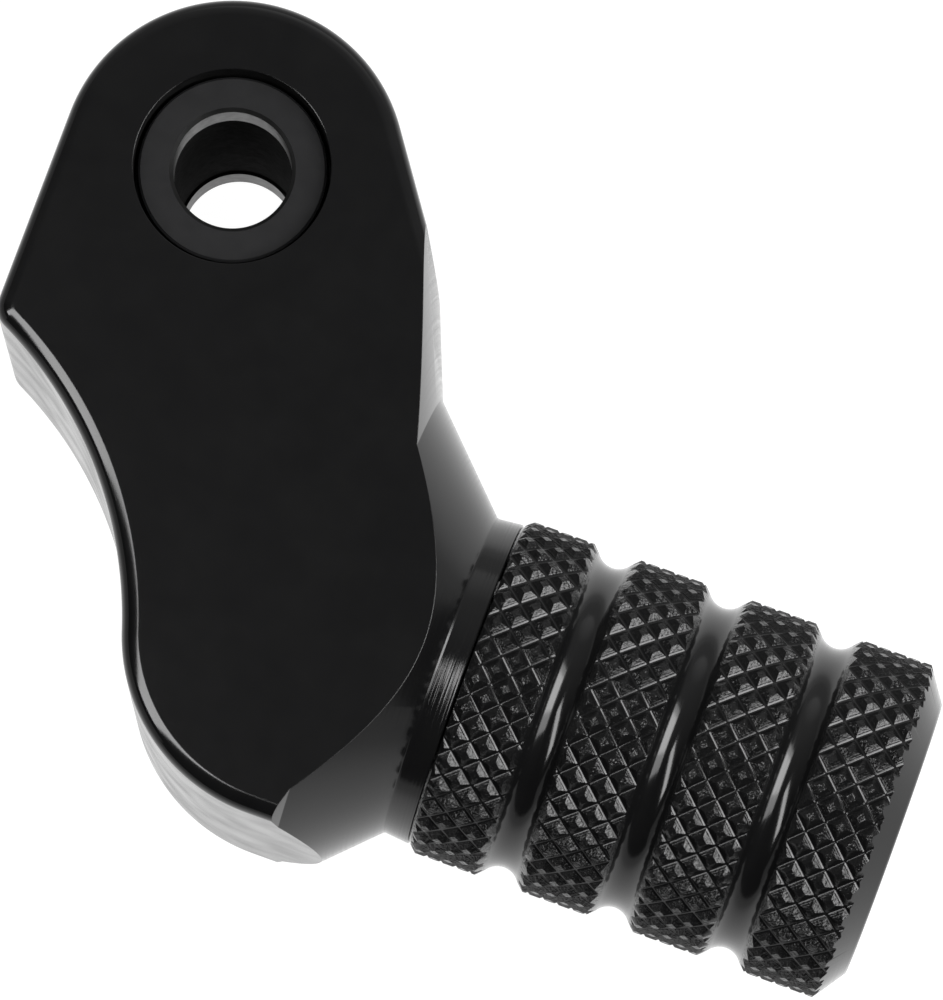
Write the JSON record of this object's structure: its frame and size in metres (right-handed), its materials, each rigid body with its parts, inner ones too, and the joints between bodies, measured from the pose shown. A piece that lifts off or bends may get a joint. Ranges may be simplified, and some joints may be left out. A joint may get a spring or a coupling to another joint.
{
  "type": "foot peg",
  "caption": "Folding toe peg for a shift lever: a knurled round peg on a short thick arm that swings back about a sprung, bushed pivot.",
  "frame": {"origin": "where the fold axis meets the plane of the arm's back face", "axes": "+Z along the fold axis, out of the arm's front face; +X along the knurled peg towards its free end; +Y from the peg towards the round head, back along the lever"},
  "size_m": [0.0517, 0.0391, 0.019],
  "materials": {
    "black_anodised": "black anodised, satin",
    "black_anodised_knurl": "black anodised over knurling",
    "black_oxide_steel": "black oxide, satin",
    "bright_steel": "ground",
    "spring_steel": "drawn wire",
    "bronze": "sintered bronze",
    "acetal": "moulded, black",
    "nitrile_rubber": "moulded"
  },
  "bodies": {
    "pivot": {"pivot_collar": "black_oxide_steel", "thrust_washer": "acetal", "spring_plate": "black_oxide_steel", "return_spring": "spring_steel"},
    "tip": {"arm": "black_anodised", "toe_peg": "black_anodised_knurl", "peg_screw": "black_oxide_steel", "peg_lock_washer": "spring_steel", "peg_dowel": "bright_steel", "rear_bush": "bronze", "front_bush": "bronze", "rear_seal": "nitrile_rubber", "front_seal": "nitrile_rubber", "stop_pin": "bright_steel"}
  },
  "joints": [
    {"name": "tip_fold", "type": "hinge", "parent": "pivot", "child": "tip", "pos_m": [0, 0, 0], "axis": [0, 0, 1], "range_deg": [0, 90], "stiffness_Nm_per_rad": 0.19, "springref_deg": -51.57, "deforming": ["return_spring"]}
  ]
}
